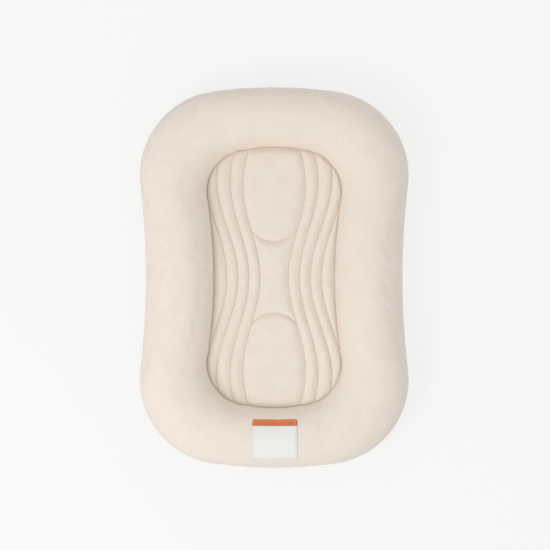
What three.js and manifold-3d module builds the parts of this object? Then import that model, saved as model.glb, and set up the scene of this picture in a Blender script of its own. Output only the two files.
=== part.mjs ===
// Infant lounger: a filled ring rim round a quilted centre, in a cover that zips off underneath.
// Millimetres, +Z up, +Y towards the head end. The origin lies on the floor under the middle.
import * as THREE from 'three';
import { mergeVertices } from 'three/addons/utils/BufferGeometryUtils.js';
import Module from 'manifold-3d';

const wasm = await Module();
wasm.setup();

// Whole lounger, seen from above: corners, waist and ends are arcs that meet smoothly
const overallLength = 735;
const overallWidth = 520;
const overallHeight = 105;
const rimCornerRadius = 167;
const rimWaistDraw = 13.6;
const rimEndBow = 2;

// Rim's cross section
const endRimWidth = 118;
const sideRimWidth = 129;
const outerFootRadius = 42;
const innerFootRadius = 20;
const sideSeamRise = 4;

// Outline of the quilted centre
const padCornerRadius = 83;
const padWaistDraw = 13.7;
const padEndBow = 1;
const cornerLimitShare = 0.9;

// Cloths, fillings and the clearances between them
const coverCloth = 1.2;
const linerCloth = 0.8;
const faceCloth = 1;
const backingCloth = 1;
const padThickness = 11.4;
const battingAtSeams = 3.7;
const layerGap = 0.3;
const seamGap = 0.9;

// Quilting: lines from the outermost in, as shares of the centre's half width and half length
const lineWaistShares = [0.78, 0.597, 0.4165, 0.233];
const lineCrestShares = [1.062, 0.855, 0.648, 0.4615];
const lineWaveShares = [0.853, 0.775, 0.752, 0.721];
const pocketApexShare = 0.2775;
const pocketEndShare = 0.36;
const sideStripEndShare = 0.93;
const puffHeight = 6.5;
const puffReach = 16;
const threadRadius = 0.4;
const lineEndTrim = 3;
const pocketEndTrim = 1.5;

// Label on the foot rim, measured along the cloth
const labelWidth = 88;
const labelLength = 85;
const labelStartShare = 0.303;
const labelCloth = 0.5;
const labelHem = 3;

// Zip in the base
const zipEndMargin = 49.5;
const tapeThickness = 0.8;
const tapeWidth = 13.2;
const tapeOverrun = 12;
const coilWidth = 2.5;
const coilHeight = 1.8;
const coilOffset = 0.8;
const stopLength = 4;
const notchOverrun = 6;
const notchClearance = 0.4;

// Slider and pull tab
const sliderLength = 10;
const sliderCornerCut = 1.6;
const wingThickness = 1.2;
const lowerWingThickness = 1.7;
const flangeThickness = 0.9;
const flangeClearance = 0.4;
const postLength = 3;
const bridgeWidth = 1.6;
const bridgeRadius = 1.5;
const bridgeThickness = 1;
const bridgeDrop = 1.8;
const pullLength = 13;
const pullWidth = 6.4;
const pullThickness = 1.2;
const pullCornerRadius = 2.4;
const pullBarHalf = 0.9;
const eyeHalfWidth = 1.2;
const eyeLength = 2.2;
const gripSlotHalfWidth = 1.1;
const gripSlotMargin = 1.9;

// Counts of flats along the outline's arcs, the section's arcs and the quilt's cells
const outlineSteps = { side: 2, corner: 7, end: 2 };
const sectionSteps = { crown: 4, innerFoot: 2, outerFoot: 3 };
const quiltColumnCounts = { centre: 3, strip: 3, edge: 2 };
const quiltRowCounts = { toPocket: 4, toSplit: 3, toEnd: 3 };
const labelColumnCount = 4;
const roundSegments = 6;
const searchSteps = 50;

// Heights of the layers, from the base panel up to the quilt's face
const basePanelTop = innerFootRadius + coverCloth;
const tapeBottom = basePanelTop + layerGap;
const tapeTop = tapeBottom + tapeThickness;
const upperWingBottom = tapeTop + layerGap;
const padBottom = upperWingBottom + wingThickness + layerGap;
const backingBottom = padBottom + padThickness + layerGap;
const battingBottom = backingBottom + backingCloth + layerGap;
const faceBottom = battingBottom + battingAtSeams + layerGap;
const sideSeamHeight = outerFootRadius + sideSeamRise;
const linerSeamHeight = (basePanelTop + faceBottom) / 2;

const colours = {
  cover: '#ebe0d3', liner: '#f4f1ea', fibre: '#fafaf8', foam: '#f1e6c8', thread: '#efe6da',
  label: '#f7f6f3', tape: '#e9dfd2', coil: '#efe8dd', metal: '#c9cacb',
};
const cloth = (colour) => new THREE.MeshStandardMaterial({ color: colour, roughness: 0.92 });
const plastic = (colour) => new THREE.MeshStandardMaterial({ color: colour, roughness: 0.5 });
const metal = () => new THREE.MeshStandardMaterial({ color: colours.metal, roughness: 0.3, metalness: 1 });

const lounger = new THREE.Group();

function addPiece(name, geometry, material, parent = lounger) {
  const piece = new THREE.Mesh(geometry, material);
  piece.name = name;
  parent.add(piece);
  return piece;
}

// Shared geometry: arcs, closed meshes, rings, slabs and threads

function arcPoints(centreX, centreY, radiusX, radiusY, from, to, count) {
  return Array.from({ length: count + 1 }, (_, i) => {
    const angle = from + ((to - from) * i) / count;
    return new THREE.Vector2(centreX + radiusX * Math.cos(angle), centreY + radiusY * Math.sin(angle));
  });
}

function closedMesh(points, triangles) {
  const solid = triangles.filter(([a, b, c]) => {
    return !points[a].equals(points[b]) && !points[b].equals(points[c]) && !points[c].equals(points[a]);
  });
  const geometry = new THREE.BufferGeometry().setFromPoints(points);
  geometry.setIndex(solid.flat());
  const merged = mergeVertices(geometry);
  merged.computeVertexNormals();
  return merged;
}

function joined(...geometries) {
  const solids = geometries.map((geometry) => {
    const bare = new THREE.BufferGeometry().setAttribute('position', geometry.getAttribute('position'));
    if (geometry.index) bare.setIndex(geometry.index);
    const merged = mergeVertices(bare);
    return new wasm.Manifold(new wasm.Mesh({
      numProp: 3,
      vertProperties: new Float32Array(merged.getAttribute('position').array),
      triVerts: new Uint32Array(merged.index.array),
    }));
  });
  const mesh = solids.reduce((whole, solid) => whole.add(solid)).getMesh();
  const geometry = new THREE.BufferGeometry();
  geometry.setAttribute('position', new THREE.BufferAttribute(mesh.vertProperties, 3));
  geometry.setIndex(new THREE.BufferAttribute(mesh.triVerts, 1));
  geometry.computeVertexNormals();
  return geometry;
}

function block([left, right], [front, back], [bottom, top]) {
  const box = new THREE.BoxGeometry(right - left, back - front, top - bottom);
  return box.translate((left + right) / 2, (front + back) / 2, (bottom + top) / 2);
}

function onSide(side, [inner, outer]) {
  return side > 0 ? [inner, outer] : [-outer, -inner];
}

function slab(outline, bottom, thickness, holes = []) {
  const shape = new THREE.Shape(outline);
  shape.holes = holes.map((hole) => new THREE.Path(hole));
  const geometry = new THREE.ExtrudeGeometry(shape, { depth: thickness, bevelEnabled: false });
  return geometry.translate(0, 0, bottom);
}

// A solid between two grids of points, walled in along their border
function closedGrid(top, bottom) {
  const rows = top.length;
  const columns = top[0].length;
  const points = [...top.flat(), ...bottom.flat()];
  const at = (row, column, layer) => layer * rows * columns + row * columns + column;
  const triangles = [];
  for (let row = 0; row < rows - 1; row += 1) {
    for (let column = 0; column < columns - 1; column += 1) {
      for (const layer of [0, 1]) {
        const [a, b, c, d] = [[0, 0], [0, 1], [1, 1], [1, 0]].map(([up, over]) => {
          return at(row + up, column + over, layer);
        });
        triangles.push(...(layer ? [[a, c, b], [a, d, c]] : [[a, b, c], [a, c, d]]));
      }
    }
  }
  const wall = (from, to) => {
    const [a, b, c, d] = [at(...from, 0), at(...from, 1), at(...to, 1), at(...to, 0)];
    triangles.push([a, b, c], [a, c, d]);
  };
  for (let column = 0; column < columns - 1; column += 1) {
    wall([0, column], [0, column + 1]);
    wall([rows - 1, column + 1], [rows - 1, column]);
  }
  for (let row = 0; row < rows - 1; row += 1) {
    wall([row + 1, 0], [row, 0]);
    wall([row, columns - 1], [row + 1, columns - 1]);
  }
  return closedMesh(points, triangles);
}

// A four-sided thread along a line of points, one edge down on the cloth
function thread(path, normals, closed = false) {
  const count = path.length;
  const points = path.flatMap((point, i) => {
    const before = path[closed ? (i + count - 1) % count : Math.max(i - 1, 0)];
    const after = path[closed ? (i + 1) % count : Math.min(i + 1, count - 1)];
    const comingIn = point.clone().sub(before).normalize();
    const goingOut = after.clone().sub(point).normalize();
    const along = comingIn.clone().add(goingOut).normalize();
    const mitre = Math.max(along.dot(comingIn), along.dot(goingOut));
    const up = normals[i].clone().multiplyScalar(threadRadius);
    const aside = new THREE.Vector3().crossVectors(along, normals[i]).setLength(threadRadius / mitre);
    const middle = point.clone().add(up);
    return [aside, up, aside.clone().negate(), up.clone().negate()].map((step) => middle.clone().add(step));
  });
  const triangles = [];
  for (let i = 0; i < (closed ? count : count - 1); i += 1) {
    const [here, next] = [4 * i, 4 * ((i + 1) % count)];
    for (let side = 0; side < 4; side += 1) {
      const other = (side + 1) % 4;
      triangles.push([here + side, next + other, here + other], [here + side, next + side, next + other]);
    }
  }
  if (!closed) {
    const last = 4 * (count - 1);
    triangles.push([0, 1, 2], [0, 2, 3], [last, last + 2, last + 1], [last, last + 3, last + 2]);
  }
  return closedMesh(points, triangles);
}

// Outlines of the rim and of the quilted centre

function roundedOutline(halfLength, halfWidth, cornerRadius, waistDraw, endBow) {
  const radius = Math.min(cornerRadius, cornerLimitShare * halfWidth);
  const cornerX = halfWidth - radius;
  const cornerY = halfLength - radius - endBow;
  const waistRadius = ((radius - waistDraw) ** 2 + cornerY ** 2 - radius ** 2) / (2 * waistDraw);
  const waistX = halfWidth - waistDraw + waistRadius;
  const endRadius = radius + (cornerX ** 2 + endBow ** 2) / (2 * endBow);
  const endY = halfLength - endRadius;
  const waistAngle = Math.atan2(cornerY, waistX - cornerX);
  const endAngle = Math.atan2(cornerY - endY, cornerX);
  const sideTop = waistRadius * Math.sin(waistAngle);
  const endReach = endRadius * Math.cos(endAngle);

  const side = arcPoints(
    waistX, 0, waistRadius, waistRadius, Math.PI, Math.PI - waistAngle, outlineSteps.side,
  );
  const corner = arcPoints(cornerX, cornerY, radius, radius, -waistAngle, endAngle, outlineSteps.corner);
  const end = arcPoints(0, endY, endRadius, endRadius, endAngle, Math.PI / 2, outlineSteps.end);
  const quarter = [...side, ...corner.slice(1), ...end.slice(1)];
  quarter.at(-1).x = 0;

  return {
    quarter,
    xAt(y) {
      if (y <= sideTop) return waistX - Math.sqrt(waistRadius ** 2 - y ** 2);
      const onCorner = Math.sqrt(Math.max(radius ** 2 - (y - cornerY) ** 2, 0));
      const onEnd = Math.sqrt(Math.max(endRadius ** 2 - (y - endY) ** 2, 0));
      return onEnd < endReach ? onEnd : cornerX + onCorner;
    },
    yAt(x) {
      if (x <= endReach) return endY + Math.sqrt(endRadius ** 2 - x ** 2);
      return cornerY + Math.sqrt(Math.max(radius ** 2 - (x - cornerX) ** 2, 0));
    },
  };
}

// The whole loop anticlockwise, from the waist on the +X side
function loopOf({ quarter }) {
  const turned = (points, alongX, alongY) => {
    return points.slice(0, -1).map(({ x, y }) => new THREE.Vector2(alongX * x, alongY * y));
  };
  const back = [...quarter].reverse();
  return [
    ...turned(quarter, 1, 1), ...turned(back, -1, 1), ...turned(quarter, -1, -1), ...turned(back, 1, -1),
  ];
}

const halfLength = overallLength / 2;
const halfWidth = overallWidth / 2;
const padHalfLength = halfLength - endRimWidth;
const padHalfWidth = halfWidth - sideRimWidth;
const rimOutline = roundedOutline(halfLength, halfWidth, rimCornerRadius, rimWaistDraw, rimEndBow);
const padOutline = roundedOutline(padHalfLength, padHalfWidth, padCornerRadius, padWaistDraw, padEndBow);
const layerOutline = roundedOutline(
  padHalfLength - seamGap, padHalfWidth - seamGap, padCornerRadius - seamGap, padWaistDraw, padEndBow,
);

// Rim: cover, liner and fibre, swept round matching points of the two outlines

const outerLoop = loopOf(rimOutline);
const stations = loopOf(padOutline).map((inner, i) => {
  const across = outerLoop[i].clone().sub(inner);
  return { inner, width: across.length(), across: across.normalize() };
});

function rimPoint({ inner, across }, { x: outward, y: height }) {
  return new THREE.Vector3(inner.x + across.x * outward, inner.y + across.y * outward, height);
}

function crownPath(width, inset) {
  const half = width / 2;
  const rise = overallHeight - inset;
  const outer = arcPoints(
    half, sideSeamHeight, half - inset, rise - sideSeamHeight, 0, Math.PI / 2, sectionSteps.crown,
  );
  const inner = arcPoints(
    half, faceBottom, half - inset, rise - faceBottom, Math.PI / 2, Math.PI, sectionSteps.crown,
  );
  return [...outer, ...inner.slice(1)];
}

function footPath(width, inset) {
  const innerRadius = innerFootRadius - inset;
  const outerRadius = outerFootRadius - inset;
  const [outerX, down] = [width - outerFootRadius, 1.5 * Math.PI];
  return [
    ...arcPoints(
      innerFootRadius, innerFootRadius, innerRadius, innerRadius, Math.PI, down, sectionSteps.innerFoot,
    ),
    ...arcPoints(
      outerX, outerFootRadius, outerRadius, outerRadius, down, 2 * Math.PI, sectionSteps.outerFoot,
    ),
  ];
}

function crownWithWall(width, inset) {
  return [...crownPath(width, inset), new THREE.Vector2(inset, linerSeamHeight)];
}

const footBelow = (wallTop) => (width, inset) => [
  new THREE.Vector2(inset, wallTop),
  ...footPath(width, inset),
  new THREE.Vector2(width - inset, sideSeamHeight - layerGap),
];

// A shell's section goes out along one path and back along the same path, one cloth further in.
// The returning quads are split along the other diagonal, so that facing layers stay parallel.
function ring(outwardPath, returnPath = () => []) {
  const sections = stations.map((station) => {
    return [...outwardPath(station.width), ...returnPath(station.width).reverse()];
  });
  const turn = outwardPath(sideRimWidth).length;
  const size = sections[0].length;
  const points = sections.flatMap((section, i) => section.map((point) => rimPoint(stations[i], point)));
  const triangles = [];
  for (let i = 0; i < stations.length; i += 1) {
    const next = (i + 1) % stations.length;
    for (let j = 0; j < size; j += 1) {
      const after = (j + 1) % size;
      const [a, b, c, d] = [i * size + j, next * size + j, next * size + after, i * size + after];
      triangles.push(...(j < turn ? [[a, b, c], [a, c, d]] : [[a, b, d], [b, c, d]]));
    }
  }
  return closedMesh(points, triangles);
}

function shellRing(path, inset, thickness) {
  return ring((width) => path(width, inset), (width) => path(width, inset + thickness));
}

const linerInset = coverCloth + layerGap;
const fibreInset = linerInset + linerCloth + layerGap;

addPiece('rim_cover_top', shellRing(crownPath, 0, coverCloth), cloth(colours.cover));
addPiece('rim_cover_under', shellRing(footBelow(basePanelTop), 0, coverCloth), cloth(colours.cover));
addPiece('insert_liner_top', shellRing(crownWithWall, linerInset, linerCloth), cloth(colours.liner));
addPiece(
  'insert_liner_under',
  shellRing(footBelow(linerSeamHeight - layerGap), linerInset, linerCloth),
  cloth(colours.liner),
);
addPiece(
  'fibre_fill',
  ring((width) => [...crownPath(width, fibreInset), ...footPath(width, fibreInset)]),
  cloth(colours.fibre),
);

// Quilted centre: a grid whose columns follow the sewn lines and whose rows end on the outline

function crossing(difference, low, high) {
  const rising = difference(high) > 0;
  for (let step = 0; step < searchSteps; step += 1) {
    const middle = (low + high) / 2;
    if (difference(middle) > 0 === rising) high = middle;
    else low = middle;
  }
  return low;
}

function quiltLine(k) {
  const waist = lineWaistShares[k] * (padHalfWidth - padWaistDraw);
  const crest = lineCrestShares[k] * padHalfWidth;
  const wave = lineWaveShares[k] * padHalfLength;
  return (y) => waist + ((crest - waist) * (1 - Math.cos((Math.PI * y) / wave))) / 2;
}

const lines = lineWaistShares.map((_, k) => {
  const xAt = quiltLine(k);
  return { xAt, end: crossing((y) => layerOutline.xAt(y) - xAt(y), 0, padHalfLength - seamGap) };
});
const splitY = lines[0].end;
lines[0] = {
  xAt: (y) => (y < splitY ? quiltLine(0)(y) : layerOutline.xAt(y)),
  end: sideStripEndShare * lines[1].end,
};
const innermost = lines.at(-1);
const pocketEnd = pocketEndShare * padHalfLength;
const pocketDepth = pocketEnd - pocketApexShare * padHalfLength;
const pocketHalfChord = innermost.xAt(pocketEnd);
const pocketRadius = (pocketHalfChord ** 2 + pocketDepth ** 2) / (2 * pocketDepth);
const pocketSag = (share) => {
  return Math.sqrt(pocketRadius ** 2 - (share * pocketHalfChord) ** 2) - (pocketRadius - pocketDepth);
};

const pocketRowShare = pocketEnd / innermost.end;
const splitRowShare = splitY / lines[0].end;
const evenly = (from, to, count) => {
  return Array.from({ length: count }, (_, i) => from + ((to - from) * i) / count);
};
const rowShares = [
  ...evenly(0, pocketRowShare, quiltRowCounts.toPocket),
  ...evenly(pocketRowShare, splitRowShare, quiltRowCounts.toSplit),
  ...evenly(splitRowShare, 1, quiltRowCounts.toEnd),
  1,
];

// One row of the quarter with +X and +Y, from the middle out to the outline
function quarterRow(rowShare) {
  const atEnd = rowShare === 1;
  const fade = rowShare < pocketRowShare ? rowShare / pocketRowShare : (1 - rowShare) / (1 - pocketRowShare);
  const place = (x, y) => new THREE.Vector2(x, atEnd ? layerOutline.yAt(x) : y);
  const stops = [...lines].reverse().map(({ xAt, end }) => ({ x: xAt(rowShare * end), y: rowShare * end }));
  const [first] = stops;
  const centre = evenly(0, 1, quiltColumnCounts.centre).map((share) => {
    return place(share * first.x, first.y - fade * pocketSag(share));
  });
  const strips = stops.slice(0, -1).flatMap((stop, k) => {
    return evenly(0, 1, quiltColumnCounts.strip).map((share) => {
      return place(stop.x + share * (stops[k + 1].x - stop.x), stop.y + share * (stops[k + 1].y - stop.y));
    });
  });
  const last = stops.at(-1);
  const rimX = rowShare < splitRowShare ? layerOutline.xAt(last.y) : last.x;
  const edge = [...evenly(0, 1, quiltColumnCounts.edge), 1].map((share) => {
    return new THREE.Vector2(last.x + share * (rimX - last.x), last.y);
  });
  return [...centre, ...strips, ...edge];
}

const quarterRows = rowShares.map(quarterRow);
const fullRow = (row, side) => [
  ...row.slice(1).reverse().map(({ x, y }) => new THREE.Vector2(-x, side * y)),
  ...row.map(({ x, y }) => new THREE.Vector2(x, side * y)),
];
const quiltGrid = [
  ...quarterRows.slice(1).reverse().map((row) => fullRow(row, -1)),
  ...quarterRows.map((row) => fullRow(row, 1)),
];
const middleRow = rowShares.length - 1;
const middleColumn = quarterRows[0].length - 1;

// Sewn seams as runs of grid points: the eight lines, the two pocket arcs and the border
const lineColumn = (k) => quiltColumnCounts.centre + quiltColumnCounts.strip * (lines.length - 1 - k);
const splitRow = quiltRowCounts.toPocket + quiltRowCounts.toSplit;
const lineSeam = (side, k) => {
  const reach = k === 0 ? splitRow : middleRow;
  return quiltGrid.slice(middleRow - reach, middleRow + reach + 1).map((row) => {
    return row[middleColumn + side * lineColumn(k)];
  });
};
const pocketSeam = (side) => {
  const row = quiltGrid[middleRow + side * quiltRowCounts.toPocket];
  return row.slice(middleColumn - quiltColumnCounts.centre, middleColumn + quiltColumnCounts.centre + 1);
};
const border = [
  ...quiltGrid[0],
  ...quiltGrid.map((row) => row.at(-1)),
  ...[...quiltGrid.at(-1)].reverse(),
  ...quiltGrid.map((row) => row[0]).reverse(),
];
const seams = [border, pocketSeam(1), pocketSeam(-1)];
for (const side of [-1, 1]) {
  lines.forEach((_, k) => seams.push(lineSeam(side, k)));
}

function distanceToRun(point, run) {
  return Math.min(...run.slice(1).map((to, i) => {
    const span = to.clone().sub(run[i]);
    const reach = span.lengthSq();
    const share = reach > 0 ? THREE.MathUtils.clamp(point.clone().sub(run[i]).dot(span) / reach, 0, 1) : 0;
    return point.distanceTo(run[i].clone().addScaledVector(span, share));
  }));
}

// Each channel swells over the reach from its seams and stays level beyond it
function puffAt(point) {
  const share = Math.min(Math.min(...seams.map((seam) => distanceToRun(point, seam))) / puffReach, 1);
  return puffHeight * Math.sqrt(1 - (1 - share) ** 2);
}

const puffs = quiltGrid.map((row) => row.map(puffAt));
const quiltSurface = (height) => quiltGrid.map((row, i) => row.map(({ x, y }, j) => {
  return new THREE.Vector3(x, y, height + puffs[i][j]);
}));
const flatSurface = (height) => quiltGrid.map((row) => row.map(({ x, y }) => {
  return new THREE.Vector3(x, y, height);
}));
const faceTop = faceBottom + faceCloth;

addPiece('quilt_face', closedGrid(quiltSurface(faceTop), quiltSurface(faceBottom)), cloth(colours.cover));
addPiece(
  'quilt_batting',
  closedGrid(quiltSurface(faceBottom - layerGap), flatSurface(battingBottom)),
  cloth(colours.fibre),
);
const layerLoop = loopOf(layerOutline);
addPiece('quilt_backing', slab(layerLoop, backingBottom, backingCloth), cloth(colours.liner));
addPiece('centre_pad', slab(layerLoop, padBottom, padThickness), cloth(colours.foam));

// Quilting threads lie in the channels, one layer gap above the cloth
function trimmed(run, trim) {
  const shorten = (points) => {
    const [end, next] = points;
    const cut = end.clone().add(next.clone().sub(end).setLength(trim));
    return [cut, ...points.slice(1)];
  };
  return shorten(shorten(run).reverse()).reverse();
}

function seamThread(run, trim) {
  const up = new THREE.Vector3(0, 0, 1);
  const path = trimmed(run, trim).map(({ x, y }) => new THREE.Vector3(x, y, faceTop + layerGap));
  return thread(path, path.map(() => up));
}

const sides = [[-1, 'left'], [1, 'right']];
for (const [side, word] of sides) {
  lines.forEach((_, k) => {
    const lineThread = seamThread(lineSeam(side, k), lineEndTrim);
    addPiece(`quilt_stitch_${word}_${k + 1}`, lineThread, cloth(colours.thread));
  });
}
for (const [side, word] of [[1, 'head'], [-1, 'foot']]) {
  addPiece(`quilt_stitch_${word}_arc`, seamThread(pocketSeam(side), pocketEndTrim), cloth(colours.thread));
}

// Label: laid over the crown of the foot rim, with its rows on the crown's own flats

const footMiddle = (3 * stations.length) / 4;
const footReach = outlineSteps.end + 1;
const footStations = stations.slice(footMiddle - footReach, footMiddle + footReach + 1);
const crownRuns = crownPath(endRimWidth, 0).reverse();
const crownLengths = crownRuns.reduce((lengths, point, i) => {
  return i ? [...lengths, lengths.at(-1) + point.distanceTo(crownRuns[i - 1])] : [0];
}, []);
const labelStart = labelStartShare * crownLengths.at(-1);

// A place on the crown, counted in flats from the inner seam, for a distance along the cloth
function flatsAt(distance) {
  const flat = crownLengths.findIndex((length) => length > distance) - 1;
  return flat + (distance - crownLengths[flat]) / (crownLengths[flat + 1] - crownLengths[flat]);
}

function flatsBetween(from, to) {
  const [first, last] = [flatsAt(from), flatsAt(to)];
  const corners = crownRuns.map((_, i) => i).filter((i) => i > first && i < last);
  return [first, ...corners, last];
}

function onCrown(width, flats, outset) {
  const path = crownPath(width, -outset).reverse();
  const flat = Math.min(Math.floor(flats), path.length - 2);
  return path[flat].clone().lerp(path[flat + 1], flats - flat);
}

function onFootRim(x, flats, outset) {
  const marks = footStations.map((station) => rimPoint(station, onCrown(station.width, flats, outset)));
  const i = Math.max(marks.findIndex((mark) => mark.x > x) - 1, 0);
  const share = (x - marks[i].x) / (marks[i + 1].x - marks[i].x);
  return marks[i].clone().lerp(marks[i + 1], share);
}

const acrossLabel = (half) => [...evenly(-half, half, labelColumnCount), half];
const labelSheet = (outset) => flatsBetween(labelStart, labelStart + labelLength).map((flats) => {
  return acrossLabel(labelWidth / 2).map((x) => onFootRim(x, flats, outset));
}).reverse();
const labelTopOutset = layerGap + labelCloth;
addPiece('blank_label', closedGrid(labelSheet(labelTopOutset), labelSheet(layerGap)), cloth(colours.label));

const hemX = labelWidth / 2 - labelHem;
const hemXs = acrossLabel(hemX);
const hemFlats = flatsBetween(labelStart + labelHem, labelStart + labelLength - labelHem);
const hemPlaces = [
  ...hemFlats.slice(1).map((flats) => [hemX, flats]),
  ...hemXs.slice(0, -1).reverse().map((x) => [x, hemFlats.at(-1)]),
  ...hemFlats.slice(0, -1).reverse().map((flats) => [-hemX, flats]),
  ...hemXs.slice(1).map((x) => [x, hemFlats[0]]),
];
const hemPath = hemPlaces.map(([x, flats]) => onFootRim(x, flats, labelTopOutset + layerGap));
const hemNormals = hemPlaces.map(([x, flats], i) => {
  return onFootRim(x, flats, labelTopOutset + layerGap + threadRadius).sub(hemPath[i]).normalize();
});
addPiece('label_stitching', thread(hemPath, hemNormals, true), cloth(colours.thread));

// Base: two flat panels either side of the zip, level with the top of the inner foot

const zipHalf = padHalfLength - zipEndMargin;
const notchHalfLength = zipHalf + notchOverrun;
const sliderInnerHalf = coilOffset + coilWidth + flangeClearance;
const sliderHalfWidth = sliderInnerHalf + flangeThickness;
const notchHalfWidth = sliderHalfWidth + notchClearance;
const panelEdge = layerGap / 2;
const rightHalf = [
  ...layerOutline.quarter.slice(1).reverse().map(({ x, y }) => [Math.max(x, panelEdge), -y]),
  ...layerOutline.quarter.map(({ x, y }) => [Math.max(x, panelEdge), y]),
  [panelEdge, notchHalfLength],
  [notchHalfWidth, notchHalfLength],
  [notchHalfWidth, -notchHalfLength],
  [panelEdge, -notchHalfLength],
];
for (const [side, word] of sides) {
  const outline = rightHalf.map(([x, y]) => new THREE.Vector2(side * x, y));
  addPiece(`base_panel_${word}`, slab(outline, innerFootRadius, coverCloth), cloth(colours.cover));
}

// Zip: tapes on the panels' inner side, coils and stops under the tapes' edges

const coilTop = tapeBottom - layerGap;
const coilSpan = [coilOffset, coilOffset + coilWidth];
const coilHeights = [coilTop - coilHeight, coilTop];
const coilHalf = zipHalf - stopLength - layerGap;
for (const [side, word] of sides) {
  const tapeSpan = onSide(side, [coilOffset, coilOffset + tapeWidth]);
  const tapeHalf = zipHalf + tapeOverrun;
  addPiece(
    `zip_tape_${word}`,
    block(tapeSpan, [-tapeHalf, tapeHalf], [tapeBottom, tapeTop]),
    cloth(colours.tape),
  );
  addPiece(
    `zip_coil_${word}`,
    block(onSide(side, coilSpan), [-coilHalf, coilHalf], coilHeights),
    plastic(colours.coil),
  );
  addPiece(
    `zip_top_stop_${word}`,
    block(onSide(side, coilSpan), [zipHalf - stopLength, zipHalf], coilHeights),
    metal(),
  );
}
addPiece(
  'zip_bottom_stop',
  block([-coilSpan[1], coilSpan[1]], [-zipHalf, stopLength - zipHalf], coilHeights),
  metal(),
);

// Slider: two wings on a post, flanges beside the coils, and a bridge for the pull.
// Its frame is the pull's pivot, under the slider's middle.

const lowerWingTop = coilHeights[0] - layerGap;
const lowerWingBottom = lowerWingTop - lowerWingThickness;
const pivotHeight = lowerWingBottom - bridgeDrop;
const sliderHalfLength = sliderLength / 2;
const sliderRestY = zipHalf - stopLength - layerGap - sliderHalfLength;
const fromPivot = (...heights) => heights.map((height) => height - pivotHeight);

const wingOutline = [
  [sliderHalfWidth, sliderCornerCut - sliderHalfLength],
  [sliderHalfWidth, sliderHalfLength - sliderCornerCut],
  [sliderHalfWidth - sliderCornerCut, sliderHalfLength],
  [sliderCornerCut - sliderHalfWidth, sliderHalfLength],
  [-sliderHalfWidth, sliderHalfLength - sliderCornerCut],
  [-sliderHalfWidth, sliderCornerCut - sliderHalfLength],
  [sliderCornerCut - sliderHalfWidth, -sliderHalfLength],
  [sliderHalfWidth - sliderCornerCut, -sliderHalfLength],
].map(([x, y]) => new THREE.Vector2(x, y));
const flangeY = [sliderCornerCut - sliderHalfLength, sliderHalfLength - sliderCornerCut];
const flangeHeights = fromPivot(lowerWingBottom, tapeBottom - flangeClearance);
const flanges = sides.map(([side]) => {
  return block(onSide(side, [sliderInnerHalf, sliderHalfWidth]), flangeY, flangeHeights);
});
const postHalfWidth = coilOffset - layerGap;
const post = block(
  [-postHalfWidth, postHalfWidth],
  [-postLength / 2, postLength / 2],
  fromPivot(lowerWingBottom, upperWingBottom + wingThickness),
);

const bridgeOuter = bridgeRadius + bridgeThickness;
const bridgeTop = bridgeDrop + lowerWingThickness / 2;
const bridgeOutline = new THREE.Shape();
bridgeOutline.moveTo(bridgeOuter, bridgeTop);
bridgeOutline.lineTo(bridgeRadius, bridgeTop);
bridgeOutline.absarc(0, 0, bridgeRadius, 0, Math.PI, true);
bridgeOutline.lineTo(-bridgeRadius, bridgeTop);
bridgeOutline.lineTo(-bridgeOuter, bridgeTop);
bridgeOutline.absarc(0, 0, bridgeOuter, Math.PI, 2 * Math.PI, false);
const bridge = new THREE.ExtrudeGeometry(bridgeOutline, {
  depth: bridgeWidth, bevelEnabled: false, curveSegments: roundSegments,
});
bridge.translate(0, 0, -bridgeWidth / 2);
bridge.applyMatrix4(new THREE.Matrix4().makeBasis(
  new THREE.Vector3(0, 1, 0), new THREE.Vector3(0, 0, 1), new THREE.Vector3(1, 0, 0),
));

const slider = addPiece(
  'zip_slider',
  joined(
    slab(wingOutline, fromPivot(lowerWingBottom)[0], lowerWingThickness),
    slab(wingOutline, fromPivot(upperWingBottom)[0], wingThickness),
    ...flanges,
    post,
    bridge,
  ),
  metal(),
);
slider.position.set(0, sliderRestY, pivotHeight);

// Pull tab: a flat plate that hangs from the bridge by the bar above its eye

function roundSlot(halfWidth, top, bottom, radius) {
  const path = new THREE.Path();
  path.moveTo(halfWidth, top - radius);
  path.absarc(halfWidth - radius, top - radius, radius, 0, Math.PI / 2, false);
  path.absarc(radius - halfWidth, top - radius, radius, Math.PI / 2, Math.PI, false);
  path.absarc(radius - halfWidth, bottom + radius, radius, Math.PI, 1.5 * Math.PI, false);
  path.absarc(halfWidth - radius, bottom + radius, radius, 1.5 * Math.PI, 2 * Math.PI, false);
  return path.getPoints(roundSegments);
}

const eyeBottom = -pullBarHalf - eyeLength;
const pullBottom = pullBarHalf - pullLength;
const pullCorner = Math.min(pullCornerRadius, pullWidth / 2);
const pullOutline = roundSlot(pullWidth / 2, pullBarHalf, pullBottom, pullCorner);
const eye = roundSlot(eyeHalfWidth, -pullBarHalf, eyeBottom, eyeHalfWidth / 4);
const gripSlot = roundSlot(
  gripSlotHalfWidth, eyeBottom - gripSlotMargin, pullBottom + gripSlotMargin, gripSlotHalfWidth,
);
const pullPlate = slab(pullOutline, -pullThickness / 2, pullThickness, [eye, gripSlot]);
addPiece('zip_pull', pullPlate.rotateX(Math.PI / 2), metal(), slider);

export default lounger;
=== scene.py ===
"""Infant lounger: a fibre-filled rim round a quilted centre, in a cotton cover with a zip underneath.

Metres, +Z up, +Y towards the head end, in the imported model's own frame.
"""

import math

import bmesh
import bpy
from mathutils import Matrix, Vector, noise
from mathutils.bvhtree import BVHTree
from mathutils.kdtree import KDTree


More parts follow.
